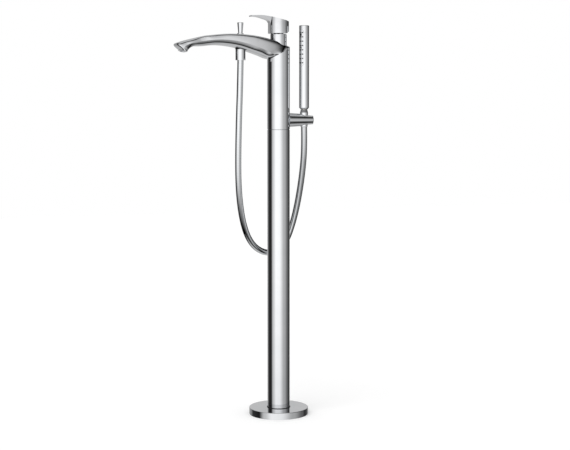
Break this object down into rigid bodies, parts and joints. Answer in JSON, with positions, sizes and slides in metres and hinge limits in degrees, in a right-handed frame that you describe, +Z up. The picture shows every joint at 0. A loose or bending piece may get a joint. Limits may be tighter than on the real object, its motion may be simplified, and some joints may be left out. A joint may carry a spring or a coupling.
{
  "type": "floor-standing bath tap",
  "caption": "Floor-standing bath mixer: round column on a floor rosette, arched flat spout, lever on top, pull diverter, and a stick hand shower on a hose in a side holder.",
  "frame": {"origin": "on the column's axis at floor level", "axes": "+Z up along the column, -X along the spout, +X towards the handset holder"},
  "size_m": [0.3381, 0.143, 0.9566],
  "materials": {
    "chrome": "polished plating",
    "brass": "as machined",
    "steel": "plain",
    "copper": "drawn tube",
    "rubber": "matt",
    "plastic": "moulded",
    "ceramic": "lapped",
    "hose": "smooth silver"
  },
  "bodies": {
    "stand": {"floor_rosette": "chrome", "column_tube": "chrome", "seam_ring": "chrome", "upper_body": "chrome", "spout_shell": "chrome", "neck_sleeve": "chrome", "diverter_gland": "chrome", "outlet_nipple": "chrome", "hose_nut": "chrome", "holder_arm": "chrome", "column_foot": "brass", "coupling_sleeve": "brass", "manifold": "brass", "cartridge_nut": "brass", "holder_stud": "brass", "base_plate": "steel", "foot_set_screws": "steel", "hot_supply_pipe": "copper", "cold_supply_pipe": "copper", "rosette_seal": "rubber", "cartridge_seal": "rubber", "hose_washer": "rubber", "pipe_spacer": "plastic", "cartridge_base": "plastic", "cartridge_shell": "plastic", "outlet_insert": "plastic", "holder_liner": "plastic", "fixed_disc": "ceramic", "shower_hose": "hose"},
    "temperature": {"turning_guide": "plastic", "pivot_pin": "steel"},
    "lever": {"lever_spindle": "steel", "lever_handle": "chrome", "lever_screw": "steel", "lever_plug": "plastic"},
    "disc": {"moving_disc": "ceramic", "disc_driver": "plastic"},
    "diverter": {"diverter_knob": "chrome", "diverter_rod": "brass", "diverter_plug": "rubber"},
    "hose_end": {"cone_nut": "chrome", "cone_washer": "rubber"},
    "handset": {"handset_body": "chrome", "spray_plate": "chrome", "spray_nozzles": "rubber", "handset_nipple": "brass"}
  },
  "joints": [
    {"name": "temperature_turn", "type": "hinge", "parent": "stand", "child": "temperature", "pos_m": [0, 0, 0.89538], "axis": [0, 0, 1], "range_deg": [-45, 45]},
    {"name": "lever_lift", "type": "hinge", "parent": "temperature", "child": "lever", "pos_m": [0, 0, 0.89538], "axis": [0, 1, 0], "range_deg": [0, 20]},
    {"name": "disc_slide", "type": "slide", "parent": "temperature", "child": "disc", "axis": [-1, 0, 0], "range_m": [0, 0.0057]},
    {"name": "diverter_pull", "type": "slide", "parent": "stand", "child": "diverter", "axis": [0, 0, 1], "range_m": [0, 0.009]},
    {"name": "handset_lift", "type": "slide", "parent": "stand", "child": "hose_end", "axis": [0, 0, 1], "range_m": [0, 0.06]},
    {"name": "handset_turn", "type": "hinge", "parent": "hose_end", "child": "handset", "pos_m": [0.0648, 0, 0.7288], "axis": [0, 0, 1], "continuous": true}
  ],
  "couplings": [
    {"joint": "disc_slide", "follows": "lever_lift", "m_per_rad": 0.016}
  ]
}
